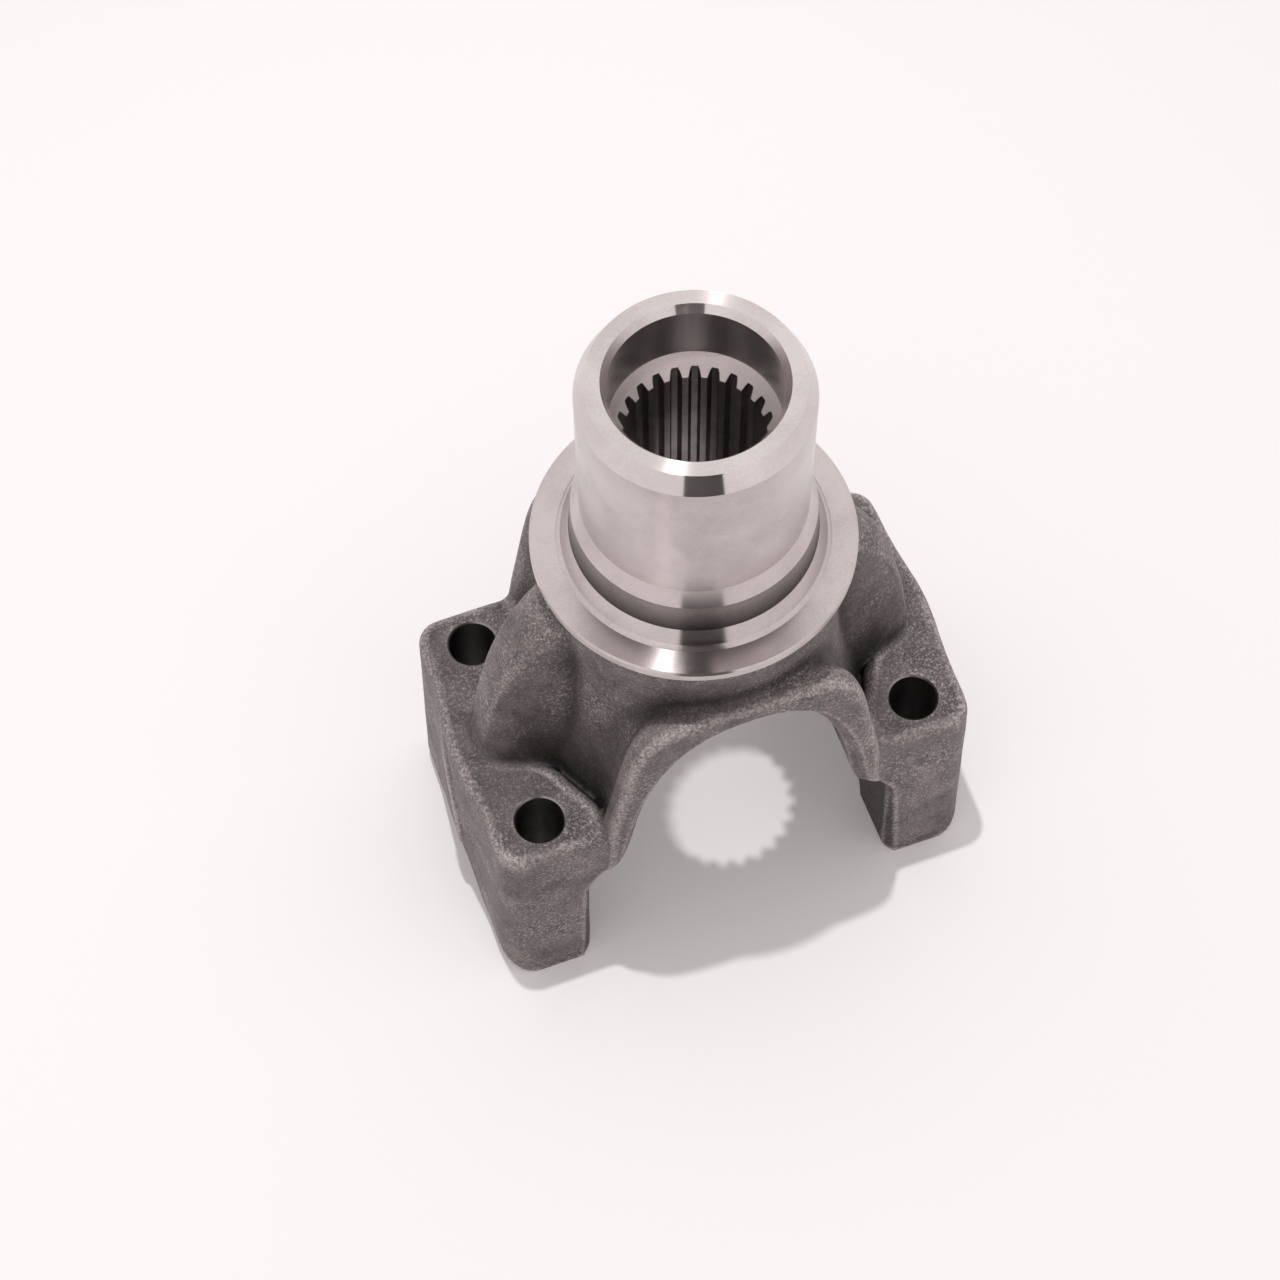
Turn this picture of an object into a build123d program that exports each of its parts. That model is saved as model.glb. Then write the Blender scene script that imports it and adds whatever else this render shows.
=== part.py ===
from build123d import *
import math
import os

os.makedirs("parts", exist_ok=True)

# Heights are above the floor plane that the four leg ends stand on, in mm.
# X runs along the cross bearing axis, Z up the hub axis.

# Turned hub
seal_diameter = 60.0
hub_top = 214.0
lead_in_width = 2.6
lead_in_height = 5.1
counterbore_diameter = 43.7
counterbore_depth = 18.0
mouth_chamfer_width = 0.9
mouth_chamfer_height = 2.8
seal_bottom = 165.0
shoulder_diameter = 64.4
shoulder_top = 160.0
shoulder_bottom = 150.6
flange_diameter = 87.0
flange_face = 145.5
flange_step_diameter = 73.0
flange_step_height = 0.7
rim_bottom = 142.6
rim_break = 0.5

# Internal spline, 24 teeth of 30 degree pressure angle
tooth_count = 24
pitch_diameter = 38.1
root_diameter = 39.7
tip_diameter = 36.5
spline_angle = 9.8
pressure_angle = 30.0
spline_lead_slope = 30.0

# Ears, pads and legs
pad_height = 70.0
ear_half_width = 44.5
ear_corner_x = 73.4
ear_bulge_x = 75.8
ear_corner_radius = 9.5
ear_draft = 2.0
pad_edge_radius = 3.0
leg_inner_bottom = 47.2
leg_inner_top = 46.2
leg_outer_radius = 9.0
leg_end_radius = 2.4
hole_spacing_x = 112.8
hole_spacing_y = 60.3
hole_diameter = 13.9

# Cross bearing seats
cup_diameter = 47.63
seat_clearance = 0.04
cup_span = 134.94
tab_radius = 20.6

# Arch between the ears
arch_crown = 114.5
arch_edge_width = 3.5
shelf_height = 52.0
shelf_inner_x = 35.5
nut_face_height = 117.0
nut_face_diameter = 50.0

# Neck, side ribs, front and back bands
neck_waist_radius = 39.8
neck_foot_radius = 50.0
rib_foot_x = 66.0
rib_foot_half_width = 5.5
rib_root_half_width = 14.0
rib_flare = 4.0
band_front = 44.8
band_thickness = 11.0
band_top = 124.0
band_foot_x = 41.0
band_edge_radius = 2.5
band_back_radius = 7.0
saddle_inset = 3.5
pocket_floor = 61.0
floor_thickness = 7.0
lip_radius = 3.4
lip_rise = 1.3
lip_setback = 0.9


def half_space(radius):
    """Half the angle of one spline groove at a radius."""
    base = pitch_diameter / 2 * math.cos(math.radians(pressure_angle))
    at_pitch = math.radians(pressure_angle)
    at_radius = math.acos(base / radius)
    rolled = (math.tan(at_pitch) - at_pitch) - (math.tan(at_radius) - at_radius)
    return math.pi / (2 * tooth_count) + rolled


def polar(radius, angle):
    return (radius * math.cos(angle), radius * math.sin(angle))


def both_sides(shape):
    return shape + mirror(shape, about=Plane.YZ)


def front_and_back(shape):
    return shape + mirror(shape, about=Plane.XZ)


# The hub as one turned profile, from the axis out to the flange rim.
seal_radius = seal_diameter / 2
shoulder_radius = shoulder_diameter / 2
flange_radius = flange_diameter / 2
step_radius = flange_step_diameter / 2
foot_chord = math.hypot(
    step_radius - shoulder_radius, flange_face + flange_step_height - shoulder_bottom
)
with BuildSketch(Plane.XZ) as hub_profile:
    with BuildLine():
        Polyline(
            (0, rim_bottom - 20),
            (0, hub_top),
            (seal_radius - lead_in_width, hub_top),
            (seal_radius, hub_top - lead_in_height),
            (seal_radius, seal_bottom),
            (shoulder_radius, shoulder_top),
            (shoulder_radius, shoulder_bottom),
        )
        RadiusArc(
            (shoulder_radius, shoulder_bottom),
            (step_radius, flange_face + flange_step_height),
            0.83 * foot_chord,
        )
        Polyline(
            (step_radius, flange_face + flange_step_height),
            (step_radius, flange_face),
            (flange_radius - rim_break, flange_face),
            (flange_radius, flange_face - rim_break),
            (flange_radius, rim_bottom),
            (neck_waist_radius, rim_bottom - 1.2),
            (neck_waist_radius, rim_bottom - 20),
            (0, rim_bottom - 20),
        )
    make_face()
hub = revolve(hub_profile.sketch, axis=Axis.Z)

# The neck flares from the flange down into the ears.
with BuildSketch(Plane.XZ) as neck_profile:
    with BuildLine():
        Line((0, rim_bottom), (0, pocket_floor - floor_thickness))
        Line((0, pocket_floor - floor_thickness), (neck_foot_radius + 3, pocket_floor - floor_thickness))
        Spline(
            (neck_foot_radius + 3, pocket_floor - floor_thickness),
            (neck_foot_radius, pocket_floor),
            (neck_foot_radius - 3.8, pad_height + 3),
            (neck_waist_radius + 2.2, pad_height + 22),
            (neck_waist_radius, rim_bottom - 18),
            (flange_radius - 1.2, rim_bottom),
        )
        Line((flange_radius - 1.2, rim_bottom), (0, rim_bottom))
    make_face()
neck = revolve(neck_profile.sketch, axis=Axis.Z)

# A ridge runs from the neck down to the middle of each ear, lofted through
# round topped sections that narrow towards the ear.
rib_stations = [
    (neck_waist_radius - 12.0, rim_bottom - 0.5, rib_root_half_width),
    (neck_waist_radius + 3.5, rim_bottom - 10.0, rib_root_half_width - 1.5),
    (neck_waist_radius + 14.0, rim_bottom - 24.0, rib_root_half_width - 4.5),
    (rib_foot_x - 4.5, rim_bottom - 47.0, rib_foot_half_width + 1.5),
    (rib_foot_x, pad_height + 1.0, rib_foot_half_width),
]
rib_base = pocket_floor - floor_thickness


def rib_section(x, top, half_width):
    with BuildSketch(Plane(origin=(x, 0, 0), x_dir=(0, 1, 0), z_dir=(1, 0, 0))) as section:
        with BuildLine():
            crest = half_width * 0.75
            foot = half_width + rib_flare
            shoulder = top - crest * 0.8
            Polyline((-crest, shoulder), (-foot, rib_base), (foot, rib_base), (crest, shoulder))
            ThreePointArc((crest, shoulder), (0, top), (-crest, shoulder))
        make_face()
    return section.sketch


rib = loft([rib_section(*station) for station in rib_stations])
ribs = both_sides(rib)

# A saddle carries the arch from front to back. It ends in a raised band on
# each face, which frames the arch like a gate.


def gate_outline(inset):
    """Front outline of the body over the arch, drawn in by an inset."""
    side = band_foot_x - inset
    top = band_top - inset
    with BuildSketch(Plane.XZ) as outline:
        with BuildLine():
            Line((0, shelf_height - 8), (side + 1.5, shelf_height - 8))
            Line((side + 1.5, shelf_height - 8), (side, pad_height))
            Spline(
                (side, pad_height),
                (side - 4.5, pad_height + 25),
                (side - 11.5, top - 6.5),
                (0, top),
                tangents=((-0.1, 1), (-1, 0)),
            )
            Line((0, top), (0, shelf_height - 8))
        make_face()
        mirror(about=Plane.YZ)
    return outline.sketch


saddle = extrude(gate_outline(saddle_inset), amount=band_front - saddle_inset, both=True)
gate_back = Pos(0, band_thickness - band_front, 0) * gate_outline(0)
gate = extrude(gate_back, amount=band_thickness, dir=(0, -1, 0))
gate_front = gate.faces().sort_by(Axis.Y)[0]
gate_edges = gate_front.edges().filter_by(GeomType.BSPLINE)
gate = fillet(gate_edges, radius=band_edge_radius)
gate_rear = gate.faces().sort_by(Axis.Y)[-1]
rear_edges = gate_rear.edges().filter_by(GeomType.BSPLINE)
gate = fillet(rear_edges, radius=band_back_radius)
gates = front_and_back(gate)

# Ears with their legs: a drafted plan outline, trimmed by the side silhouette.
with BuildSketch() as ear_plan:
    with BuildLine() as ear_line:
        corner = ear_half_width - ear_corner_radius
        Line((0, -ear_half_width), (ear_corner_x - ear_corner_radius, -ear_half_width))
        CenterArc((ear_corner_x - ear_corner_radius, -corner), ear_corner_radius, -90, 75)
        Spline(
            ear_line.line @ 1,
            (ear_corner_x + 0.3, -corner + 9),
            (ear_bulge_x - 0.9, -12),
            (ear_bulge_x, 0),
            tangents=(ear_line.line % 1, (0, 1)),
        )
        mirror(about=Plane.XZ)
        Line((0, ear_half_width), (0, -ear_half_width))
    make_face()
ear = extrude(ear_plan.sketch, amount=pad_height, taper=ear_draft)

ear_out = ear_bulge_x + 5
with BuildSketch(Plane.XZ) as side_profile:
    with BuildLine():
        Polyline((0, -1), (0, pad_height + 1), (ear_out, pad_height + 1))
        Polyline((ear_out, pad_height + 1), (ear_corner_x + 4.2, 25), (ear_corner_x - 1.5, 0))
        Polyline((ear_corner_x - 1.5, 0), (leg_inner_bottom, 0), (leg_inner_bottom, -1), (0, -1))
    make_face()
    outer_end = side_profile.vertices().sort_by_distance((ear_corner_x - 1.5, 0, 0))[0]
    fillet(outer_end, radius=leg_outer_radius)
ear = ear & extrude(side_profile.sketch, amount=60, both=True)
pad_rim = ear.faces().sort_by(Axis.Z)[-1].edges().filter_by(lambda e: e.center().X > 5)
ear = fillet(pad_rim, radius=pad_edge_radius)
ears = both_sides(ear)

# Pockets between the pads and the neck, with a rolled lip around each pad.
pocket_edge = [
    (rib_foot_x - 1.0, 5.5),
    (rib_foot_x - 5.0, 10.3),
    (rib_foot_x - 15.0, 14.6),
    (rib_foot_x - 21.0, 23.6),
    (rib_foot_x - 24.6, 31.0),
    (rib_foot_x - 25.2, 40.5),
]
with BuildSketch() as pocket_plan:
    with BuildLine():
        Spline(*pocket_edge)
        Polyline(pocket_edge[-1], (20, pocket_edge[-1][1]), (20, 0), (rib_foot_x - 2, 0), pocket_edge[0])
    make_face()
pocket = extrude(Plane.XY.offset(pocket_floor) * pocket_plan.sketch, amount=pad_height)
pockets = front_and_back(both_sides(pocket))

lip_height = pad_height + lip_rise - lip_radius
lip_curve = [
    (rib_foot_x - 3.0, 0),
    (rib_foot_x - 4.5 + lip_setback, 9.5 + lip_setback),
    (rib_foot_x - 14.5 + lip_setback * 0.4, 14.8 + lip_setback),
    (rib_foot_x - 20.6 + lip_setback, 24.0 + lip_setback * 0.5),
    (rib_foot_x - 24.2 + lip_setback, 31.4),
    (rib_foot_x - 25.4 + lip_setback, 39.0),
]
lip_path = Spline(*[(x, y, lip_height) for x, y in lip_curve])
lip_section = Plane(origin=lip_path @ 0, z_dir=lip_path % 0) * Circle(lip_radius)
lip = sweep(lip_section, path=lip_path) + Pos(lip_path @ 1) * Sphere(lip_radius)
lips = front_and_back(both_sides(lip))

forging = ears - pockets + lips + neck + ribs + saddle + gates

# The arch, its shelves and the inner faces of the legs are one profile.
with BuildSketch(Plane.XZ) as arch_profile:
    with BuildLine():
        Polyline((0, -2), (leg_inner_bottom, -2), (leg_inner_bottom - 0.1, 2), (leg_inner_top, 41))
        Polyline((leg_inner_top, 41), (leg_inner_top - 3.4, 47.5), (shelf_inner_x, shelf_height + 2.5))
        Spline(
            (shelf_inner_x, shelf_height + 2.5),
            (shelf_inner_x - 4.6, shelf_height + 24),
            (shelf_inner_x - 10.5, shelf_height + 43),
            (0, arch_crown),
            tangents=((-0.35, 1), (-1, 0)),
        )
        Line((0, arch_crown), (0, -2))
    make_face()
    mirror(about=Plane.YZ)
arch = extrude(arch_profile.sketch, amount=60, both=True)
arch_mouth = extrude(
    Pos(0, arch_edge_width - band_front, 0) * arch_profile.sketch,
    amount=arch_edge_width + 2,
    dir=(0, -1, 0),
    taper=-45,
)
arch = arch + front_and_back(arch_mouth)

# The inner bottom edge of each leg is rounded.
leg_end_x = leg_inner_bottom + leg_end_radius
leg_corner = Pos(leg_end_x - 4, 0, leg_end_radius - 4) * Box(8, 120, 8)
leg_corner = leg_corner - Pos(leg_end_x, 0, leg_end_radius) * Rot(90, 0, 0) * Cylinder(leg_end_radius, 130)
leg_corners = both_sides(leg_corner)

seat_radius = cup_diameter / 2 + seat_clearance
seats = Rot(0, 90, 0) * Cylinder(seat_radius, cup_span)
tabs = Rot(0, 90, 0) * Cylinder(tab_radius, 2 * ear_out)

hole_grid = GridLocations(hole_spacing_x, hole_spacing_y, 2, 2)
bolt_holes = [place * Cylinder(hole_diameter / 2, 3 * pad_height) for place in hole_grid]

nut_face = Pos(0, 0, nut_face_height / 2) * Cylinder(nut_face_diameter / 2, nut_face_height)

forging = forging - arch - leg_corners - seats - tabs - nut_face
yoke = forging + hub

# Counterbore with its mouth chamfer and the tapered lead into the spline.
bore_radius = counterbore_diameter / 2
counterbore_floor = hub_top - counterbore_depth
lead_depth = (bore_radius - tip_diameter / 2) / math.tan(math.radians(spline_lead_slope))
with BuildSketch(Plane.XZ) as bore_profile:
    with BuildLine():
        Polyline(
            (0, hub_top + 1),
            (bore_radius + mouth_chamfer_width, hub_top + 1),
            (bore_radius + mouth_chamfer_width, hub_top),
            (bore_radius, hub_top - mouth_chamfer_height),
            (bore_radius, counterbore_floor),
            (tip_diameter / 2, counterbore_floor - lead_depth),
            (tip_diameter / 2, nut_face_height + 1.5),
            (tip_diameter / 2 + 2.6, nut_face_height - 1),
            (0, nut_face_height - 1),
            close=True,
        )
    make_face()
bore = revolve(bore_profile.sketch, axis=Axis.Z)

groove_radii = [tip_diameter / 2 - 0.6, tip_diameter / 2 + 0.3, pitch_diameter / 2, root_diameter / 2]
flank = [polar(r, half_space(max(r, tip_diameter / 2))) for r in groove_radii]
with BuildSketch() as groove_plan:
    with BuildLine():
        Spline(*flank)
        Line(flank[-1], (flank[-1][0], -flank[-1][1]))
        Spline(*[(x, -y) for x, y in reversed(flank)])
        Line((flank[0][0], -flank[0][1]), flank[0])
    make_face()
groove = extrude(Plane.XY.offset(nut_face_height - 2) * groove_plan.sketch,
                 amount=counterbore_floor - nut_face_height + 2)
grooves = [Rot(0, 0, spline_angle + k * 360 / tooth_count) * groove for k in range(tooth_count)]

yoke = yoke - bore - grooves - bolt_holes
yoke = yoke.solids().sort_by(SortBy.VOLUME)[-1]
yoke.label = "yoke"
print("volume", round(yoke.volume), "faces", len(yoke.faces()), "valid", yoke.is_valid)
print("size", yoke.bounding_box())
export_step(yoke, "parts/yoke.step")
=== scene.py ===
import math
import bmesh
import bpy
import numpy as np
from mathutils import Matrix, Vector, noise


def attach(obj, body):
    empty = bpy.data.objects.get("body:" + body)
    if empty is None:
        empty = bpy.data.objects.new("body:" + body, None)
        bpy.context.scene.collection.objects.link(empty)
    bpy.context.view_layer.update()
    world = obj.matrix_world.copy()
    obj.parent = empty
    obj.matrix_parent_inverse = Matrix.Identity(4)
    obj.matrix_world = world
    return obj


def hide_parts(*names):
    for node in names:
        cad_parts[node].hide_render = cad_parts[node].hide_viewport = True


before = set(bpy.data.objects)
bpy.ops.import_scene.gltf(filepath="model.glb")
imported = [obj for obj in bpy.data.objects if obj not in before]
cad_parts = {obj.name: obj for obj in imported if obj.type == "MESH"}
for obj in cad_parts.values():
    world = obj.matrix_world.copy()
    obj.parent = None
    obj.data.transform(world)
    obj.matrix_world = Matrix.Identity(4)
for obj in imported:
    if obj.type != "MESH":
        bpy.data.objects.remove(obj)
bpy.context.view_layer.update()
scene = bpy.context.scene
mm = 0.001


# colours are written as sRGB hex and turned linear here
def linear(hexColour):
    parts = [int(hexColour[i:i + 2], 16) / 255 for i in (1, 3, 5)]
    return tuple(p / 12.92 if p <= 0.04045 else ((p + 0.055) / 1.055) ** 2.4
                 for p in parts) + (1.0,)


# Adds one node, sets its fields and inputs, and links what is given as a socket. An input
# goes by its name, with _ for a space, or by its number, with i before it.
def addNode(tree, kind, fields=None, **inputs):
    node = tree.nodes.new(kind)
    for name, value in (fields or {}).items():
        setattr(node, name, value)
    for name, value in inputs.items():
        numbered = name[0] == "i" and name[1:].isdigit()
        key = int(name[1:]) if numbered else name.replace("_", " ")
        if isinstance(value, bpy.types.NodeSocket):
            tree.links.new(value, node.inputs[key])
        else:
            node.inputs[key].default_value = value
    return node


# the inputs of a map range: the values that come in, and what they turn into
def span(low, high, first=0.0, last=1.0):
    return {"From_Min": low, "From_Max": high, "To_Min": first, "To_Max": last}


# places the ramp's two colours and gives its colour output
def setRamp(node, places, colours):
    for element, place, colour in zip(node.color_ramp.elements, places, colours):
        element.position = place
        element.color = linear(colour)
    return node.outputs["Color"]


def newMaterial(name):
    material = bpy.data.materials.new(name)
    material.use_nodes = True
    material.node_tree.nodes.clear()
    return material, material.node_tree


# Shot blasted forging skin: scale knocked off by steel shot. It reads as a dark
# warm grey with a fine pale sparkle, paler where edges are rubbed. Hollows, pockets
# and the legs' inner faces are painted near black as shade, and the pads darken with
# kept scale. Sizes and depths are in mm.
forgedLook = {
    # the near black colour is painted shade in hollows, pockets and inner leg faces, and kept
    # scale on the pads
    "skin": "#746b6b", "deepSkin": "#474141", "shadeAndScaleSkin": "#242121",
    "sparkle": "#d0c6c5", "rubbed": "#cbc1c0", "metallic": 0.42,
    "gritSize": 0.5, "fleckSize": 0.9, "mottleSize": 8.0, "patchSize": 19.0,
    "gritDepth": 0.08, "pitDepth": 0.17, "bumpStrength": 0.8, "fineShare": 0.7,
    # noise or mark values that each step spans, then what they turn into if not 0 to 1
    "skinSpan": (0.3, 0.66), "crestSpan": (0.51, 0.66), "fineSpan": (0.5, 0.72),
    "patchSpan": (0.38, 0.66, 0.22, 0.8), "hollowSpan": (0.1, 0.8, 1.0, 0.2),
    "grainSpan": (0.42, 0.6, 0.12, 1.0), "roughSpan": (0.35, 0.7, 0.64, 0.5),
}


def forgedMaterial(look):
    material, tree = newMaterial("shotBlastedForging")
    place = addNode(tree, "ShaderNodeTexCoord").outputs["Object"]
    grit, flecks, mottle, patch = (
        addNode(tree, "ShaderNodeTexNoise", Vector=place, Scale=1 / (look[size] * mm),
                Detail=detail, Roughness=roughness).outputs["Fac"]
        for size, detail, roughness in (("gritSize", 3.0, 0.7), ("fleckSize", 5.0, 0.8),
                                        ("mottleSize", 5.0, 0.65), ("patchSize", 3.0, 0.5)))
    base = setRamp(addNode(tree, "ShaderNodeValToRGB", Fac=mottle), look["skinSpan"],
                   (look["deepSkin"], look["skin"]))
    # painted shade: hollows, pockets and inner leg faces go near black, and the pads darken with
    # kept scale
    paintedShadeAndScale = addNode(tree, "ShaderNodeAttribute", {"attribute_name": "paintedShadeAndScale"}).outputs["Fac"]
    scaled = addNode(tree, "ShaderNodeMix", {"data_type": "RGBA"}, Factor=paintedShadeAndScale,
                     A=base, B=linear(look["shadeAndScaleSkin"])).outputs["Result"]
    # sparkle: only the crests of the grit turn pale, more in some patches than in others
    crest = addNode(tree, "ShaderNodeMapRange", Value=flecks, **span(*look["crestSpan"]))
    fine = addNode(tree, "ShaderNodeMapRange", Value=grit, **span(*look["fineSpan"]))
    crests = addNode(tree, "ShaderNodeMath", {"operation": "MULTIPLY_ADD"},
                     i0=fine.outputs[0], i1=look["fineShare"], i2=crest.outputs[0])
    amount = addNode(tree, "ShaderNodeMapRange", Value=patch, **span(*look["patchSpan"]))
    outOfShade = addNode(tree, "ShaderNodeMapRange", Value=paintedShadeAndScale, **span(*look["hollowSpan"]))
    shot = addNode(tree, "ShaderNodeMath", {"operation": "MULTIPLY"},
                   i0=amount.outputs[0], i1=outOfShade.outputs[0])
    spread = addNode(tree, "ShaderNodeMath", {"operation": "MULTIPLY"},
                     i0=crests.outputs[0], i1=shot.outputs[0])
    pale = addNode(tree, "ShaderNodeMix", {"data_type": "RGBA"}, Factor=spread.outputs[0],
                   A=scaled, B=linear(look["sparkle"])).outputs["Result"]
    # rubbed ridges and rims, broken up by the flecks
    worn = addNode(tree, "ShaderNodeAttribute", {"attribute_name": "worn"}).outputs["Fac"]
    grain = addNode(tree, "ShaderNodeMapRange", Value=flecks, **span(*look["grainSpan"]))
    broken = addNode(tree, "ShaderNodeMath", {"operation": "MULTIPLY"},
                     i0=worn, i1=grain.outputs[0])
    colour = addNode(tree, "ShaderNodeMix", {"data_type": "RGBA"}, Factor=broken.outputs[0],
                     A=pale, B=linear(look["rubbed"])).outputs["Result"]
    rough = addNode(tree, "ShaderNodeMapRange", Value=flecks, **span(*look["roughSpan"]))
    pits = addNode(tree, "ShaderNodeBump", Height=flecks, Strength=look["bumpStrength"],
                   Distance=look["pitDepth"] * mm)
    bumps = addNode(tree, "ShaderNodeBump", Height=grit, Strength=look["bumpStrength"],
                    Distance=look["gritDepth"] * mm, Normal=pits.outputs["Normal"])
    shader = addNode(tree, "ShaderNodeBsdfPrincipled", Base_Color=colour,
                     Metallic=look["metallic"], Roughness=rough.outputs[0],
                     Normal=bumps.outputs["Normal"])
    addNode(tree, "ShaderNodeOutputMaterial", Surface=shader.outputs["BSDF"])
    return material


# Turned steel, ground on the journal: bright, slightly warm, with fine rings
# round the axis that draw reflections out across them. Sizes and depths are in mm.
turnedLook = {
    "steel": "#cbc2c1", "smudge": "#b8afae", "metallic": 1.0, "roughness": 0.2,
    "roughSpread": 0.02, "streak": 0.92, "ringPitch": 0.3, "ringDepth": 0.002,
    "smudgeSize": 17.0, "speckleSize": 0.7, "speckleShare": 0.6,
    "tintSpan": (0.62, 0.97), "smudgeSpan": (0.3, 0.7),
}


# radius and height for the rings, the direction round the axis, and the height alone
def ringCoordinates(tree, place):
    parts = addNode(tree, "ShaderNodeSeparateXYZ", Vector=place)
    x, y, z = parts.outputs
    flat = addNode(tree, "ShaderNodeCombineXYZ", X=x, Y=y)
    radius = addNode(tree, "ShaderNodeVectorMath", {"operation": "LENGTH"}, i0=flat.outputs[0])
    rings = addNode(tree, "ShaderNodeCombineXYZ", X=radius.outputs["Value"], Y=z)
    back = addNode(tree, "ShaderNodeMath", {"operation": "MULTIPLY"}, i0=y, i1=-1.0)
    around = addNode(tree, "ShaderNodeCombineXYZ", X=back.outputs[0], Y=x)
    along = addNode(tree, "ShaderNodeVectorMath", {"operation": "NORMALIZE"},
                    i0=around.outputs[0])
    return rings.outputs[0], along.outputs[0], z


def turnedMaterial(name, look):
    material, tree = newMaterial(name)
    place = addNode(tree, "ShaderNodeTexCoord").outputs["Object"]
    rings, along, height = ringCoordinates(tree, place)
    marks, smudge, speckle = (
        addNode(tree, "ShaderNodeTexNoise", Vector=vector, Scale=1 / (look[size] * mm),
                Detail=detail, Roughness=roughness).outputs["Fac"]
        for vector, size, detail, roughness in ((rings, "ringPitch", 2.0, 0.7),
                                                (place, "smudgeSize", 5.0, 0.6),
                                                (place, "speckleSize", 3.0, 0.8)))
    blend = addNode(tree, "ShaderNodeMath", {"operation": "MULTIPLY_ADD"},
                    i0=speckle, i1=look["speckleShare"], i2=smudge)
    colour = setRamp(addNode(tree, "ShaderNodeValToRGB", Fac=blend.outputs[0]),
                     look["tintSpan"], (look["smudge"], look["steel"]))
    if "footShade" in look:  # painted shade: darker down to the corner at the foot
        low, high = look["footHeights"]
        shade = addNode(tree, "ShaderNodeMapRange", Value=height,
                        **span(low * mm, high * mm, look["footShade"]))
        colour = addNode(tree, "ShaderNodeVectorMath", {"operation": "SCALE"},
                         i0=colour, Scale=shade.outputs[0]).outputs[0]
    dull, bright = look["roughness"] + look["roughSpread"], look["roughness"] - look["roughSpread"]
    rough = addNode(tree, "ShaderNodeMapRange", Value=smudge,
                    **span(*look["smudgeSpan"], dull, bright))
    bump = addNode(tree, "ShaderNodeBump", Height=marks, Strength=1.0,
                   Distance=look["ringDepth"] * mm)
    shader = addNode(tree, "ShaderNodeBsdfPrincipled", Base_Color=colour,
                     Metallic=look["metallic"], Roughness=rough.outputs[0],
                     Normal=bump.outputs["Normal"], Tangent=along, Anisotropic=look["streak"],
                     Anisotropic_Rotation=0.25)  # a quarter turn: the spread crosses the rings
    addNode(tree, "ShaderNodeOutputMaterial", Surface=shader.outputs["BSDF"])
    return material


# Faces turned across the axis show coarser feed marks, so their streaks are longer.
facedLook = dict(turnedLook, steel="#cfc6c5", smudge="#beb5b4", roughness=0.14, streak=1.0,
                 ringPitch=0.42, ringDepth=0.003)
# The hub's end and counterbore took the last, finest cut and shine the most.
endLook = dict(facedLook, steel="#dcd4d3", smudge="#ccc4c3", roughness=0.155)
boredLook = dict(turnedLook, steel="#e8e0df", smudge="#dad2d1")
# The lead cone is cut by a form tool that chatters a little, so it spreads light evenly.
coneLook = dict(turnedLook, steel="#f2eae9", smudge="#e0d8d7", roughness=0.38, streak=0.3,
                metallic=0.7)
# The relief under the shoulder was roughed out and never ground, so it stays grey; its grey
# is also painted shade under the shoulder, and it is painted darker towards its foot.
reliefLook = dict(turnedLook, steel="#938a89", smudge="#7d7574", roughness=0.36, streak=0.8,
                  ringPitch=0.5, footHeights=(150.4, 158.5), footShade=0.28)
# Broached and bored surfaces are the same steel, duller; its darker colour is painted
# shade inside the hub's bore and on the forging's holes, seats, nut face and feet.
boreShadeLook = dict(turnedLook, steel="#9a9493", smudge="#787273", roughness=0.34, streak=0.3,
                    ringPitch=0.5)

forgedSkin = forgedMaterial(forgedLook)
turnedSteel = turnedMaterial("turnedSteel", turnedLook)
facedSteel = turnedMaterial("facedSteel", facedLook)
boreShadeSteel = turnedMaterial("boreShadeSteel", boreShadeLook)
reliefSteel = turnedMaterial("reliefSteel", reliefLook)
endSteel = turnedMaterial("endSteel", endLook)
coneSteel = turnedMaterial("coneSteel", coneLook)
boredSteel = turnedMaterial("boredSteel", boredLook)
print("materials made")


def meshPiece(name, verts, faces, materials=()):
    mesh = bpy.data.meshes.new(name)
    mesh.from_pydata(verts, [], faces)
    mesh.update()
    piece = bpy.data.objects.new(name, mesh)
    scene.collection.objects.link(piece)
    for material in materials:
        mesh.materials.append(material)
    return piece


# Closed solid turned round an upright axis, from a profile of radii and heights in mm that
# starts and ends on the axis. The axis' place is in metres.
def latheCutter(name, profile, centre=(0, 0), count=96):
    verts, faces = [(centre[0], centre[1], profile[0][1] * mm)], []
    for r, z in profile[1:-1]:
        for k in range(count):
            a = 2 * math.pi * k / count
            verts.append((centre[0] + r * mm * math.cos(a), centre[1] + r * mm * math.sin(a),
                          z * mm))
    verts.append((centre[0], centre[1], profile[-1][1] * mm))
    rows = len(profile) - 2
    for k in range(count):
        j = (k + 1) % count
        faces.append((0, 1 + j, 1 + k))
        for i in range(rows - 1):
            a, b = 1 + i * count, 1 + (i + 1) * count
            faces.append((a + k, a + j, b + j, b + k))
        last = 1 + (rows - 1) * count
        faces.append((last + k, last + j, len(verts) - 1))
    return meshPiece(name, verts, faces)


# half-round plug on the floor along X, which fills a cross seat; its outer end leans with
# the leg's outer face and stays just inside it
def seatPlug(side, radius, start, end, lean=0.0, longest=100.0, count=72):
    arc = [(radius * math.cos(math.pi * k / count), radius * math.sin(math.pi * k / count))
           for k in range(count + 1)]
    verts = [(side * start * mm, y * mm, z * mm) for y, z in arc]
    verts += [(side * min(end + lean * z, longest) * mm, y * mm, z * mm) for y, z in arc]
    row = count + 1
    faces = [(k, k + 1, row + k + 1, row + k) for k in range(count)]
    faces += [(0, row, 2 * row - 1, row - 1), tuple(range(row)),
              tuple(range(2 * row - 1, row - 1, -1))]
    return meshPiece("plug", verts, faces)


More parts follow.
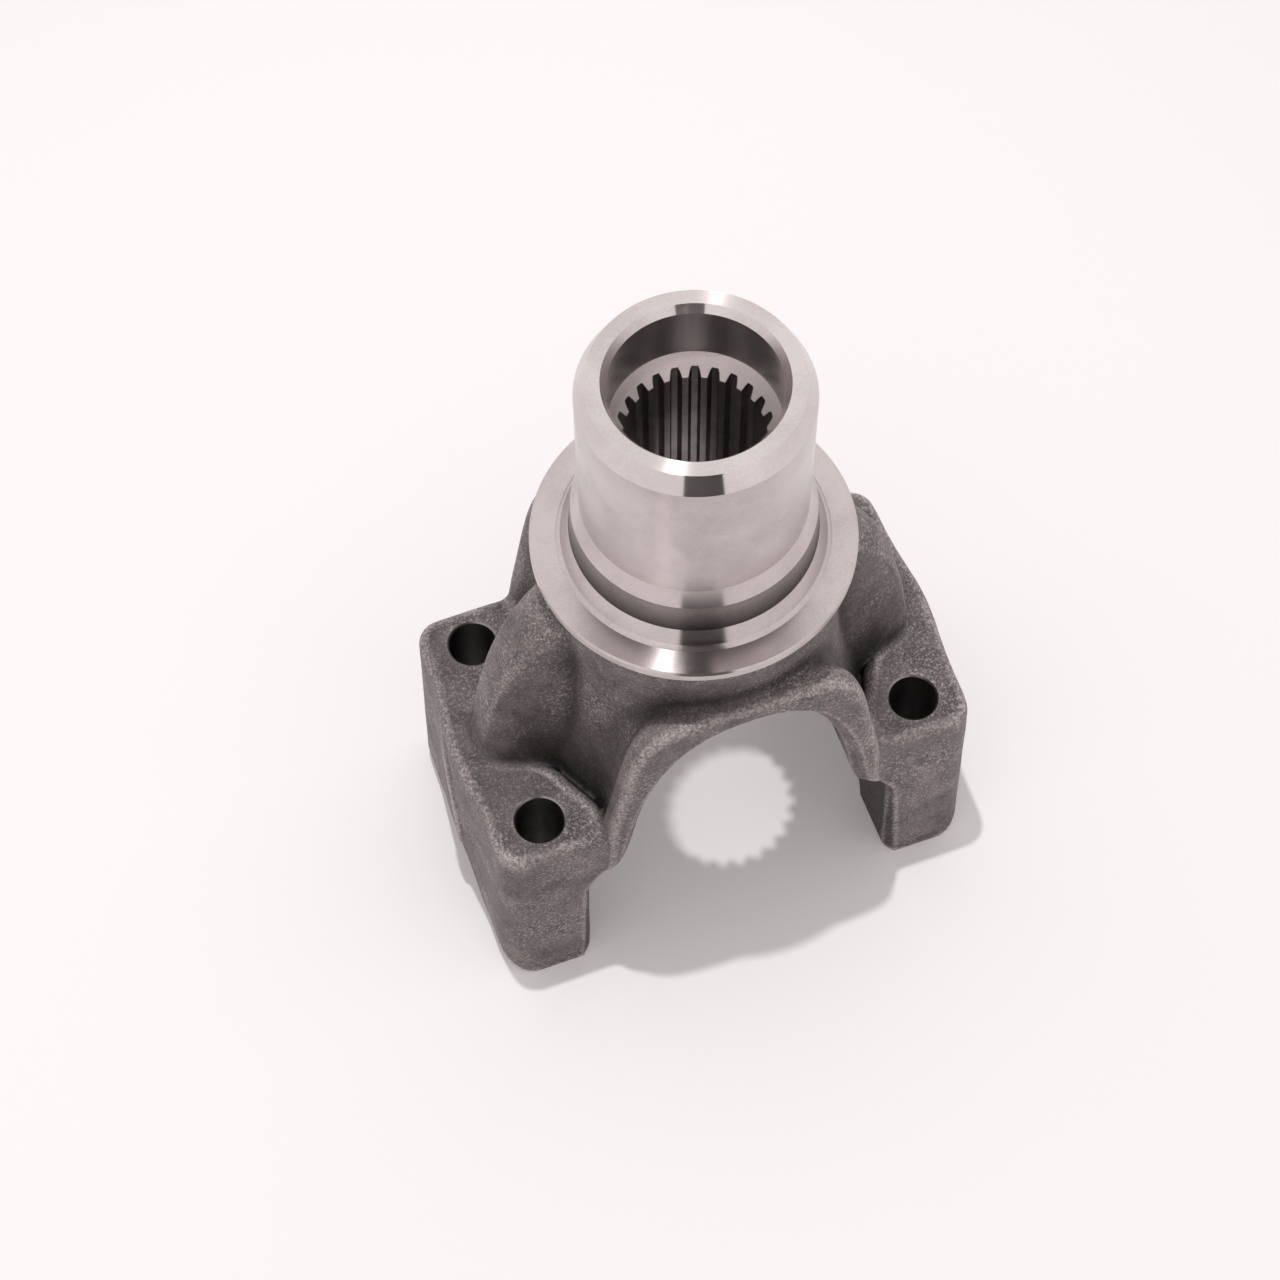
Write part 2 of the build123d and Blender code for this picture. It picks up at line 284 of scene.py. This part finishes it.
def applyModifiers(piece):
    graph = bpy.context.evaluated_depsgraph_get()
    mesh = bpy.data.meshes.new_from_object(piece.evaluated_get(graph))
    piece.modifiers.clear()
    old = piece.data
    piece.data = mesh
    bpy.data.meshes.remove(old)


def dropPiece(piece):
    mesh = piece.data
    bpy.data.objects.remove(piece)
    bpy.data.meshes.remove(mesh)


# 0 at the start and 1 at the end, which may be the lower of the two
def ramp(values, start, end):
    return np.clip((values - start) / (end - start), 0, 1)


def readVectors(items, field):
    flat = np.empty(len(items) * 3, np.float64)
    items.foreach_get(field, flat)
    return flat.reshape(-1, 3)


# the skin's points in mm, its edges' two ends, and how many edges meet at each point
def readSkin(mesh):
    ends = np.empty(len(mesh.edges) * 2, np.int64)
    mesh.edges.foreach_get("vertices", ends)
    a, b = ends.reshape(-1, 2).T
    count = len(mesh.vertices)
    degree = np.bincount(a, minlength=count) + np.bincount(b, minlength=count)
    return readVectors(mesh.vertices, "co") / mm, a, b, np.maximum(degree, 1)


# the mean of each point's neighbours
def average(values, a, b, degree):
    total = np.empty_like(values)
    count = len(values)
    for k in range(3):
        total[:, k] = (np.bincount(a, values[b, k], count)
                       + np.bincount(b, values[a, k], count)) / degree
    return total


# puts the points into the mesh and gives their normals
def moveSkin(mesh, place):
    mesh.vertices.foreach_set("co", (place * mm).ravel())
    mesh.update()
    return readVectors(mesh.vertex_normals, "vector")


# The forged body: the solid is plugged and remeshed, its creases are filled like a forging
# die's radii, its edges are softened, and its holes, seats and feet are cut again, crisp.
# Lengths are in mm. A pair that fades goes from where it starts to where it is whole.
forgedBody = {
    "voxel": 0.7, "keptShare": 0.42, "sliver": 0.01, "sharpAngle": 40.0,
    "topHeight": 142.4, "padHeight": 70.0, "legInside": 44.0,
    "holeSpacing": (112.8, 60.3), "holeRadius": 6.95, "holeBreak": 0.45,
    "nutFaceHeight": 117.0, "nutFaceRadius": 25.0, "boreRadius": 20.9,
    "seatRadius": 23.86, "seatHalf": 67.47, "tabRadius": 20.6, "seatTrim": 0.25,
    "footTrim": 0.4, "footSlack": 0.01,
    # plugs overlap the solid, start inside the leg's inner face, and end inside its outer
    # face: the end on the floor, the lean for each mm of height, and the furthest
    "plugOverlap": 0.2, "tabOverlap": 2, "plugSides": 48,
    "plugInner": 47.3, "plugOuter": (71.6, 0.22, 74.2),
    # cutters reach past the metal they cut, as heights, half lengths and radii
    "holeCut": (-5, 90), "nutCutFoot": 90, "topCut": (80, 240), "seatCutHalf": 90,
    "footCut": (130, -40), "roundCount": 144,
    # the skin moves fully only where these have faded in; the seats' are past their radius
    "footFade": (0.5, 4.0), "topFade": (136.0, 141.0), "seatFade": (0.5, 3), "boreFade": (20, 30),
    "creasePasses": 12, "creaseShare": 0.8, "normalEvery": 3, "softPasses": 2, "softShare": 0.5,
    # the pockets' tightest corners, mirrored to all four pads and filled like a die's radii
    "pocketCorners": [(39.6, 35.1, 62.2), (49.8, 14.7, 62.2)], "cornerFade": (8.0, 5.0),
    "cornerCeiling": (70.0, 68.0), "cornerPasses": 120,
    "waveSize": 17.0, "waveDepth": 0.22, "padWave": 0.4, "padWaveSlack": 1.2,
    # trimmed flash down the outer side of each ear, as y and z from the pad down
    "flashPath": [(9.0, 69.0), (6.0, 62.0), (2.0, 53.0), (-2.5, 42.0), (-5.5, 30.0),
                  (-6.5, 24.0)],
    "flashHalfWidth": 2.2, "flashSide": 0.9, "flashHeight": 1.0, "flashStop": 0.4,
    "flashFade": (69, 71), "flashTopFade": (68.0, 58.0),
    # how far the skin stands proud of its average, or lies below it, before a mark fades in
    "wearPasses": 5, "hollowPasses": 150, "wearFade": (0.05, 0.22), "hollowFade": (0.2, 1.9),
    # scale left on pads, and painted shade on inner leg faces and pockets: how much, and
    # where it fades in; up and inward are parts of the skin's normal
    "padScale": 0.36, "padSlack": 1.5, "padUp": 0.9,
    "innerShade": 0.8, "innerZ": (70, 40), "innerHalf": 50, "innerInward": (0.3, 0.8),
    "pocketShade": 1.0, "pocketZ": (98, 70), "pocketFoot": 61, "pocketY": (36, 32),
    "pocketX": (58, 52), "pocketUp": (0.85, 0.55),
    # how near a face lies to a machined surface to show bare steel
    "seatNear": 0.02, "edgeNear": 0.1, "nutNear": 0.4, "holeNear": 0.3, "footDown": -0.9,
}


# the four bolt holes' axes, in metres
def holeCentres(spec):
    return [(sx * spec["holeSpacing"][0] / 2 * mm, sy * spec["holeSpacing"][1] / 2 * mm)
            for sx in (-1, 1) for sy in (-1, 1)]


# fills the bolt holes and seats, so that the remesh doesn't see them, and remeshes
def remeshSolid(piece, spec):
    radius, top = spec["holeRadius"] + spec["plugOverlap"], spec["padHeight"]
    plugs = [latheCutter("plug", [(0, 0.0), (radius, 0.0), (radius, top), (0, top)], centre,
                         spec["plugSides"]) for centre in holeCentres(spec)]
    for side in (-1, 1):
        plugs.append(seatPlug(side, spec["seatRadius"], spec["plugInner"], spec["seatHalf"]))
        plugs.append(seatPlug(side, spec["tabRadius"], spec["seatHalf"] - spec["tabOverlap"],
                              *spec["plugOuter"]))
    body = bmesh.new()
    body.from_mesh(piece.data)
    for plug in plugs:
        body.from_mesh(plug.data)
        dropPiece(plug)
    body.to_mesh(piece.data)
    body.free()
    remesh = piece.modifiers.new("remesh", "REMESH")
    remesh.mode = "VOXEL"
    remesh.voxel_size = spec["voxel"] * mm
    applyModifiers(piece)
    print("remeshed", len(piece.data.vertices), len(piece.data.polygons))


def softenSkin(mesh, spec):
    co, a, b, degree = readSkin(mesh)
    x, y, z = co.T  # these follow co as it moves
    padTop = ((np.abs(z - spec["padHeight"]) < spec["padWaveSlack"])
              & (np.abs(x) > spec["legInside"]))
    # leg ends, flange seat, cross seats and bore stay put
    forged = ramp(z, *spec["footFade"]) * (1 - ramp(z, *spec["topFade"]))
    forged *= ramp(np.hypot(y, z), *(spec["seatRadius"] + past for past in spec["seatFade"]))
    forged *= ramp(np.hypot(x, y), *spec["boreFade"])
    for step in range(spec["creasePasses"]):  # fills concave creases only
        if step % spec["normalEvery"] == 0:
            direction = moveSkin(mesh, co)
        shift = average(co, a, b, degree) - co
        outward = np.einsum("ij,ij->i", shift, direction)
        share = np.clip(outward / np.maximum(np.linalg.norm(shift, axis=1), 1e-6), 0, 1)
        co += shift * (share * forged * spec["creaseShare"])[:, None]
    corner = np.zeros(len(co))
    for cx, cy, cz in spec["pocketCorners"]:
        distance = np.sqrt((np.abs(x) - cx) ** 2 + (np.abs(y) - cy) ** 2 + (z - cz) ** 2)
        corner = np.maximum(corner, ramp(distance, *spec["cornerFade"]))
    corner *= ramp(z, *spec["cornerCeiling"])
    touched = (corner[a] > 0) | (corner[b] > 0)
    for step in range(spec["cornerPasses"]):
        co += (average(co, a[touched], b[touched], degree) - co) * corner[:, None]
    for step in range(spec["softPasses"]):
        co += (average(co, a, b, degree) - co) * (forged * spec["softShare"])[:, None]
    # slow unevenness of a hammered die, less of it on the pads
    direction = moveSkin(mesh, co)
    wave = np.array([noise.noise(Vector(point / spec["waveSize"])) for point in co])
    flatter = np.where(padTop, spec["padWave"], 1.0)
    co += direction * (wave * spec["waveDepth"] * forged * flatter)[:, None]
    # flash: a low flat-topped ridge that stops short at its lower end
    path = np.array(spec["flashPath"])
    foot = path[-1][1]
    along = np.column_stack([y * np.sign(-x), z])  # one ear is the other turned half round
    nearest = np.full(len(co), 1e9)
    for start, end in zip(path, path[1:]):
        run = end - start
        share = np.clip((along - start) @ run / (run @ run), 0, 1)
        nearest = np.minimum(nearest, np.hypot(*(along - start - share[:, None] * run).T))
    raised = np.clip((spec["flashHalfWidth"] - nearest) / spec["flashSide"], 0, 1)
    raised = raised * ramp(np.abs(x), *spec["flashFade"])
    raised *= (ramp(z, foot - spec["flashStop"], foot + spec["flashStop"])
               * ramp(z, *spec["flashTopFade"]))
    co[:, 0] += np.sign(x) * raised * spec["flashHeight"]
    moveSkin(mesh, co)


# stores how worn each point is, and its painted shade and pad scale, for the material to read
def markWear(mesh, spec):
    place, a, b, degree = readSkin(mesh)
    direction = readVectors(mesh.vertex_normals, "vector")
    smooth, proud = place, {}
    for step in range(1, spec["hollowPasses"] + 1):
        smooth = average(smooth, a, b, degree)
        if step in (spec["wearPasses"], spec["hollowPasses"]):
            proud[step] = np.einsum("ij,ij->i", place - smooth, direction)
    x, y, z = np.abs(place[:, 0]), np.abs(place[:, 1]), place[:, 2]
    up, inward = direction[:, 2], -direction[:, 0] * np.sign(place[:, 0])
    # the pads keep some scale, because they face away from the shot
    pad = ((np.abs(z - spec["padHeight"]) < spec["padSlack"]) & (up > spec["padUp"])
           & (x > spec["legInside"]))
    # painted shade on the faces that the legs turn to each other
    inner = ramp(z, *spec["innerZ"]) * (x < spec["innerHalf"])
    inner *= ramp(inward, *spec["innerInward"])
    # and painted shade at the foot of each pocket beside the neck
    pocket = ramp(z, *spec["pocketZ"]) * (z > spec["pocketFoot"]) * ramp(y, *spec["pocketY"])
    pocket *= ramp(x, *spec["pocketX"]) * ramp(up, *spec["pocketUp"])
    scaleAndShade = np.maximum.reduce([spec["padScale"] * pad, spec["innerShade"] * inner,
                               spec["pocketShade"] * pocket])
    # painted shade in the hollows: the further the skin lies below its wide average, the darker
    below = ramp(-proud[spec["hollowPasses"]], *spec["hollowFade"])
    marks = {"worn": ramp(proud[spec["wearPasses"]], *spec["wearFade"]),
             "paintedShadeAndScale": np.maximum(below, scaleAndShade)}
    for name, values in marks.items():
        layer = mesh.attributes.new(name, "FLOAT", "POINT")
        layer.data.foreach_set("value", values.astype(np.float32))


# the seats' and tabs' radii, bored a little past the plugs
def boredRadii(spec):
    return spec["seatRadius"] + spec["seatTrim"], spec["tabRadius"] + spec["seatTrim"]


# drills the holes and bores and faces the rest, then tidies what the cuts leave
def cutBody(piece, spec):
    hole, wide = spec["holeRadius"], spec["holeRadius"] + spec["holeBreak"]
    low, high = spec["holeCut"]
    drill = [(0, low), (hole, low), (hole, spec["padHeight"] - spec["holeBreak"]),
             (wide, spec["padHeight"]), (wide, high), (0, high)]
    cutters = [latheCutter("holeCutter", drill, centre) for centre in holeCentres(spec)]
    foot, face, top = spec["nutCutFoot"], spec["nutFaceHeight"], spec["topHeight"]
    reach, high = spec["topCut"]
    facer = [(0, foot), (spec["nutFaceRadius"], foot), (spec["nutFaceRadius"], face),
             (spec["boreRadius"], face), (spec["boreRadius"], top), (reach, top),
             (reach, high), (0, high)]
    cutters.append(latheCutter("nutFaceCutter", facer, count=spec["roundCount"]))
    # the cross seats and their tabs, bored along X
    seat, tab = boredRadii(spec)
    ends, half = spec["seatCutHalf"], spec["seatHalf"]
    borer = latheCutter("seatCutter", [(0, -ends), (tab, -ends), (tab, -half), (seat, -half),
                                       (seat, half), (tab, half), (tab, ends), (0, ends)],
                        count=spec["roundCount"])
    borer.data.transform(Matrix.Rotation(math.radians(90), 4, "Y"))
    cutters.append(borer)
    reach, low = spec["footCut"]
    cutters.append(latheCutter("footCutter", [(0, low), (reach, low),
                                              (reach, spec["footTrim"]), (0, spec["footTrim"])]))
    for cutter in cutters:
        cut = piece.modifiers.new("cut", "BOOLEAN")
        cut.operation = "DIFFERENCE"
        cut.object = cutter
        cut.solver = "MANIFOLD"
    applyModifiers(piece)
    for cutter in cutters:
        dropPiece(cutter)
    # the cuts leave slivers shorter than a hundredth of a millimetre, which are merged away
    work = bmesh.new()
    work.from_mesh(piece.data)
    bmesh.ops.remove_doubles(work, verts=work.verts, dist=spec["sliver"] * mm)
    bmesh.ops.dissolve_degenerate(work, edges=work.edges, dist=spec["sliver"] * mm)
    work.to_mesh(piece.data)
    work.free()
    for vert in piece.data.vertices:  # the trimmed feet go back down to the floor
        if vert.co.z < (spec["footTrim"] + spec["footSlack"]) * mm:
            vert.co.z = 0.0
    print("drilled", len(piece.data.vertices), len(piece.data.polygons))


# bare steel, painted darker as shade, on seats, tabs, nut face, feet and holes, and forged skin on
# the rest
def giveSkins(mesh, spec):
    mesh.materials.clear()
    mesh.materials.append(forgedSkin)
    mesh.materials.append(boreShadeSteel)
    x, y, z = (readVectors(mesh.polygons, "center") / mm).T
    up = readVectors(mesh.polygons, "normal")[:, 2]
    seat, tab = boredRadii(spec)
    half, edge = spec["seatHalf"], spec["edgeNear"]
    machined = ((np.hypot(y, z) < seat + spec["seatNear"]) & (np.abs(x) < half + edge)
                & (np.abs(x) > spec["legInside"]))
    machined |= (np.hypot(y, z) < tab + spec["seatNear"]) & (np.abs(x) > half)
    machined |= ((np.abs(z - spec["nutFaceHeight"]) < spec["nutNear"])
                 & (np.hypot(x, y) < spec["nutFaceRadius"] + edge))
    machined |= (z < edge) & (up < spec["footDown"])
    for hx, hy in holeCentres(spec):
        machined |= np.hypot(x - hx / mm, y - hy / mm) < spec["holeRadius"] + spec["holeNear"]
    mesh.polygons.foreach_set("material_index", machined.astype(np.int32))
    mesh.polygons.foreach_set("use_smooth", np.ones(len(mesh.polygons), bool))
    mesh.set_sharp_from_angle(angle=math.radians(spec["sharpAngle"]))
    mesh.update()


def buildForgedBody(spec):
    piece = bpy.data.objects.new("forgedBody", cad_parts["yoke"].data.copy())
    scene.collection.objects.link(piece)
    piece.data.materials.clear()
    remeshSolid(piece, spec)
    softenSkin(piece.data, spec)
    markWear(piece.data, spec)
    thin = piece.modifiers.new("thin", "DECIMATE")  # flat stretches need few triangles
    thin.ratio = spec["keptShare"]
    applyModifiers(piece)
    print("creases filled")
    cutBody(piece, spec)
    giveSkins(piece.data, spec)
    return piece


# The turned hub: one ring mesh that follows the profile down the outside and
# up the bore, with the spline teeth as ripples of the bore's radius. Lengths are
# in mm, and pairs are a radius and a height.
turnedHub = {
    "top": 214.0, "sealRadius": 30.0, "leadIn": (2.6, 5.1), "sealMiddle": 187.0,
    "sealBottom": 165.0, "taperBreak": (30.95, 162.4), "shoulderRadius": 32.2,
    "shoulderTop": 160.0, "reliefFoot": (33.0, 150.4), "stepRadius": 36.5,
    "stepRise": [(35.3, 146.5), (36.1, 145.95)], "flangeFace": 145.5, "flangeRadius": 43.5,
    "rimBreak": 0.5, "rimBottom": 142.6, "lowerBreak": 0.3, "sunk": 0.1,
    # out of sight inside the forged body: the wall's radius, then how it runs in
    "hiddenRadius": 30.0, "hiddenFoot": [(24.0, 128.0), (20.9, 117.0)],
    "boreRadius": 21.85, "boreFloor": 196.0, "boreMiddle": 205.0, "mouthChamfer": (1.5, 2.2),
    "toothCount": 24, "pressureAngle": 30.0, "splineAngle": 9.8, "pitchRadius": 19.05,
    "rootRadius": 19.85, "tipRadius": 18.25, "flankRadii": [19.6, 19.3, 19.0, 18.7, 18.45],
    "rootStep": 0.5, "landSteps": (0.35, 0.7),  # parts of the root and the land between points
    "splineEntry": (20.85, 117.0), "splineHeights": (118.5, 119.5, 155.0),
    "leadSlope": 30.0, "leadRings": 15, "landMargin": 0.03, "sharpAngle": 14.0,
}


# one point after another round the spline, as an angle and a radius
def toothPoints(spec):
    root, tip = spec["rootRadius"], spec["tipRadius"]
    pressure = math.radians(spec["pressureAngle"])
    base = spec["pitchRadius"] * math.cos(pressure)
    pitch = 2 * math.pi / spec["toothCount"]

    def involute(a):
        return math.tan(a) - a

    # from the middle of a tooth space out: root, involute flank and land
    flank = [(pitch / 4 + involute(pressure) - involute(math.acos(base / r)), r)
             for r in (root, *spec["flankRadii"], tip)]
    half = [(0.0, root), (flank[0][0] * spec["rootStep"], root)] + flank
    half += [(flank[-1][0] + (pitch / 2 - flank[-1][0]) * t, tip) for t in spec["landSteps"]]
    half.append((pitch / 2, tip))
    space = [(-a, r) for a, r in reversed(half[1:-1])] + half
    return [(math.radians(spec["splineAngle"]) + k * pitch + a, r)
            for k in range(spec["toothCount"]) for a, r in space]


def buildTurnedHub(spec):
    top, seal, shoulder = spec["top"], spec["sealRadius"], spec["shoulderRadius"]
    face, rim, under = spec["flangeFace"], spec["flangeRadius"], spec["rimBottom"] - spec["sunk"]
    outside = [
        (seal - spec["leadIn"][0], top), (seal, top - spec["leadIn"][1]),
        (seal, spec["sealMiddle"]), (seal, spec["sealBottom"]), spec["taperBreak"],
        (shoulder, spec["shoulderTop"]), spec["reliefFoot"], *spec["stepRise"],
        (spec["stepRadius"], face), (rim - spec["rimBreak"], face),
        (rim, face - spec["rimBreak"]), (rim, spec["rimBottom"] + spec["lowerBreak"]),
        (rim - spec["lowerBreak"], under), (spec["hiddenRadius"], under), *spec["hiddenFoot"],
    ]
    angle, tooth = np.array(toothPoints(spec)).T
    # up the bore, as heights and least radii; the teeth show wherever the bore is narrower
    bore, floor = spec["boreRadius"], spec["boreFloor"]
    slope = math.tan(math.radians(spec["leadSlope"]))
    tipDrop, rootDrop = (bore - spec["tipRadius"]) / slope, (bore - spec["rootRadius"]) / slope
    inside = [tuple(reversed(spec["splineEntry"]))] + [(z, 0) for z in spec["splineHeights"]]
    coneStart = len(outside) + len(inside)
    for t in np.linspace(0, 1, spec["leadRings"]):
        z = floor - tipDrop + (tipDrop - rootDrop) * t
        inside.append((z, bore - (floor - z) * slope))
    inside.append((floor - rootDrop * 0.5, bore - rootDrop * 0.5 * slope))
    coneEnd = len(outside) + len(inside)
    inside += [(floor, bore), (spec["boreMiddle"], bore)]
    mouthStart = len(outside) + len(inside)
    inside += [(top - spec["mouthChamfer"][1], bore), (top, bore + spec["mouthChamfer"][0])]
    rings = [(np.full(len(angle), r), z) for r, z in outside]
    rings += [(np.maximum(tooth, least), z) for z, least in inside]
    verts = [(r * mm * math.cos(t), r * mm * math.sin(t), z * mm)
             for radius, z in rings for r, t in zip(radius, angle)]
    flangeRing = outside.index((spec["stepRadius"], face))
    reliefRing = outside.index((shoulder, spec["shoulderTop"]))
    slots = [turnedSteel, facedSteel, boreShadeSteel, reliefSteel, endSteel, coneSteel, boredSteel]
    plain = {0: endSteel, flangeRing: facedSteel, reliefRing: reliefSteel}

    # the steel between one ring and the next, from point k to point m
    def steelOf(ring, k, m):
        if ring < len(outside):
            return plain.get(ring, turnedSteel)
        # the bore's entry and the spline take the steel painted darker as shade
        if ring < coneStart:
            return boreShadeSteel
        if ring < coneEnd:  # the spaces between the teeth run up through the cone
            least = inside[ring - len(outside)][1]
            land = max(tooth[k], least) < spec["tipRadius"] + spec["landMargin"]
            return boreShadeSteel if max(tooth[k], tooth[m]) > least and not land else coneSteel
        return boredSteel if ring < mouthStart else endSteel

    count, faces, chosen = len(angle), [], []
    for i in range(len(rings)):
        j = (i + 1) % len(rings)
        for k in range(count):
            m = (k + 1) % count
            faces.append((i * count + k, j * count + k, j * count + m, i * count + m))
            chosen.append(slots.index(steelOf(i, k, m)))
    piece = meshPiece("turnedHub", verts, faces, slots)
    mesh = piece.data
    mesh.polygons.foreach_set("material_index", chosen)
    mesh.polygons.foreach_set("use_smooth", np.ones(len(faces), bool))
    work = bmesh.new()
    work.from_mesh(mesh)
    bmesh.ops.recalc_face_normals(work, faces=work.faces)
    work.to_mesh(mesh)
    work.free()
    mesh.set_sharp_from_angle(angle=math.radians(spec["sharpAngle"]))
    mesh.update()
    return piece


bodyPiece = buildForgedBody(forgedBody)
hubPiece = buildTurnedHub(turnedHub)
for piece in (bodyPiece, hubPiece):
    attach(piece, "root")
    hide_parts("yoke")
print("pieces built")


# Floor, room and lamp. The floor is white board, the room is a light tent, and one small
# lamp hangs almost straight above. The lamp's lengths are in mm, the floor's in metres.
studio = {
    "floorColour": "#fbf9f9", "floorHalf": 12.0, "floorRoughness": 0.9,
    "floorLift": 0.05, "farLift": 0.42, "liftFade": (0.4, 2.0),
    "backdropColour": "#fffcfb", "backdropLevel": 1.0,
    "tentColour": "#fff9f9", "tentLevel": 0.655,
    "lampColour": "#ffffff", "lampPlace": (-51.0, 77.0, 1017.0), "lampRadius": 12.0,
    "lampPower": 14.6,
}


# 1 for the rays that look straight at the backdrop, or see it in metal or through glass
def seenRays(tree):
    path = addNode(tree, "ShaderNodeLightPath")
    both = addNode(tree, "ShaderNodeMath", {"operation": "MAXIMUM"},
                   i0=path.outputs["Is Camera Ray"], i1=path.outputs["Is Glossy Ray"])
    every = addNode(tree, "ShaderNodeMath", {"operation": "MAXIMUM"},
                    i0=both.outputs[0], i1=path.outputs["Is Transmission Ray"])
    return every.outputs[0]


def buildStudio(spec):
    material, tree = newMaterial("whiteBoard")
    # the board glows a little more far out, where the lamp no longer reaches it
    spot = addNode(tree, "ShaderNodeTexCoord").outputs["Object"]
    reached = addNode(tree, "ShaderNodeVectorMath", {"operation": "LENGTH"}, i0=spot)
    glow = addNode(tree, "ShaderNodeMapRange", Value=reached.outputs["Value"],
                   **span(*spec["liftFade"], spec["floorLift"], spec["farLift"]))
    lift = addNode(tree, "ShaderNodeMath", {"operation": "MULTIPLY"},
                   i0=seenRays(tree), i1=glow.outputs[0])
    board = addNode(tree, "ShaderNodeBsdfPrincipled", Base_Color=linear(spec["floorColour"]),
                    Roughness=spec["floorRoughness"], Specular_IOR_Level=0.0,
                    Emission_Color=linear(spec["backdropColour"]),
                    Emission_Strength=lift.outputs[0])
    addNode(tree, "ShaderNodeOutputMaterial", Surface=board.outputs["BSDF"])
    reach = spec["floorHalf"]
    corners = [(-reach, -reach, 0), (reach, -reach, 0), (reach, reach, 0), (-reach, reach, 0)]
    meshPiece("floor", corners, [(0, 1, 2, 3)], [material])

    world = bpy.data.worlds.new("lightTent")
    world.use_nodes = True
    scene.world = world
    tree = world.node_tree
    tree.nodes.clear()
    tent = addNode(tree, "ShaderNodeBackground", Color=linear(spec["tentColour"]),
                   Strength=spec["tentLevel"])
    white = addNode(tree, "ShaderNodeBackground", Color=linear(spec["backdropColour"]),
                    Strength=spec["backdropLevel"])
    mixed = addNode(tree, "ShaderNodeMixShader", i0=seenRays(tree), i1=tent.outputs[0],
                    i2=white.outputs[0])
    addNode(tree, "ShaderNodeOutputWorld", Surface=mixed.outputs[0])

    lamp = bpy.data.lights.new("overheadLamp", "POINT")
    lamp.energy = spec["lampPower"]
    lamp.color = linear(spec["lampColour"])[:3]
    lamp.shadow_soft_size = spec["lampRadius"] * mm
    lampObject = bpy.data.objects.new("overheadLamp", lamp)
    lampObject.location = [v * mm for v in spec["lampPlace"]]
    scene.collection.objects.link(lampObject)


# Cards that only the polished steel sees, on a ball of the given radius in metres round the
# hub. Azimuths are shared, and each card has its low and high elevation and its colour.
cards = {
    "radius": 0.58, "centreHeight": 180, "azimuths": (-29.0, 1.0), "across": 6, "up": 12,
    "each": {"lowDarkCard": (-14.0, 5.0, "#171516"), "greyCard": (5.0, 46.0, "#6b6566"),
             "highDarkCard": (46.0, 76.0, "#171516")},
}


def addCard(name, low, high, colour, spec):
    left, right = spec["azimuths"]
    across, up, radius = spec["across"], spec["up"], spec["radius"]
    verts = []
    for i in range(up + 1):
        e = math.radians(low + (high - low) * i / up)
        for j in range(across + 1):
            a = math.radians(left + (right - left) * j / across)
            verts.append((radius * math.sin(a) * math.cos(e),
                          -radius * math.cos(a) * math.cos(e),
                          spec["centreHeight"] * mm + radius * math.sin(e)))
    starts = [i * (across + 1) + j for i in range(up) for j in range(across)]
    faces = [(k, k + across + 1, k + across + 2, k + 1) for k in starts]
    material, tree = newMaterial(name)
    glow = addNode(tree, "ShaderNodeEmission", Color=linear(colour), Strength=1.0)
    addNode(tree, "ShaderNodeOutputMaterial", Surface=glow.outputs[0])
    card = meshPiece(name, verts, faces, [material])
    card.visible_camera = card.visible_diffuse = card.visible_shadow = False
    card.visible_transmission = card.visible_volume_scatter = False


buildStudio(studio)
for name, row in cards["each"].items():
    addCard(name, *row, cards)

# The camera that the photograph was solved to: its place in mm, its angles in degrees, and
# its focal length and image width in the photograph's pixels.
camera = {
    "place": (-136.355, -351.481, 750.015), "azimuth": -18.978, "elevation": 60.355,
    "roll": 1.019, "focalPixels": 2700.0, "widthPixels": 1280.0,
    "sensorWidth": 36.0, "clipStart": 0.01, "clipEnd": 20.0,
}


def placeCamera(spec):
    a, e, roll = (math.radians(spec[k]) for k in ("azimuth", "elevation", "roll"))
    back = Vector((math.sin(a) * math.cos(e), -math.cos(a) * math.cos(e), math.sin(e)))
    level = (-back).cross(Vector((0, 0, 1))).normalized()
    down = (-back).cross(level)
    across = math.cos(roll) * level + math.sin(roll) * down
    drop = -math.sin(roll) * level + math.cos(roll) * down
    data = bpy.data.cameras.new("photoCamera")
    data.sensor_width = spec["sensorWidth"]
    data.lens = spec["focalPixels"] / spec["widthPixels"] * spec["sensorWidth"]
    data.clip_start, data.clip_end = spec["clipStart"], spec["clipEnd"]
    item = bpy.data.objects.new("photoCamera", data)
    scene.collection.objects.link(item)
    turn = Matrix([(across[i], -drop[i], back[i]) for i in range(3)]).to_4x4()
    item.matrix_world = Matrix.Translation([v * mm for v in spec["place"]]) @ turn
    scene.camera = item


placeCamera(camera)
scene.view_settings.view_transform = "Standard"
print("studio built")
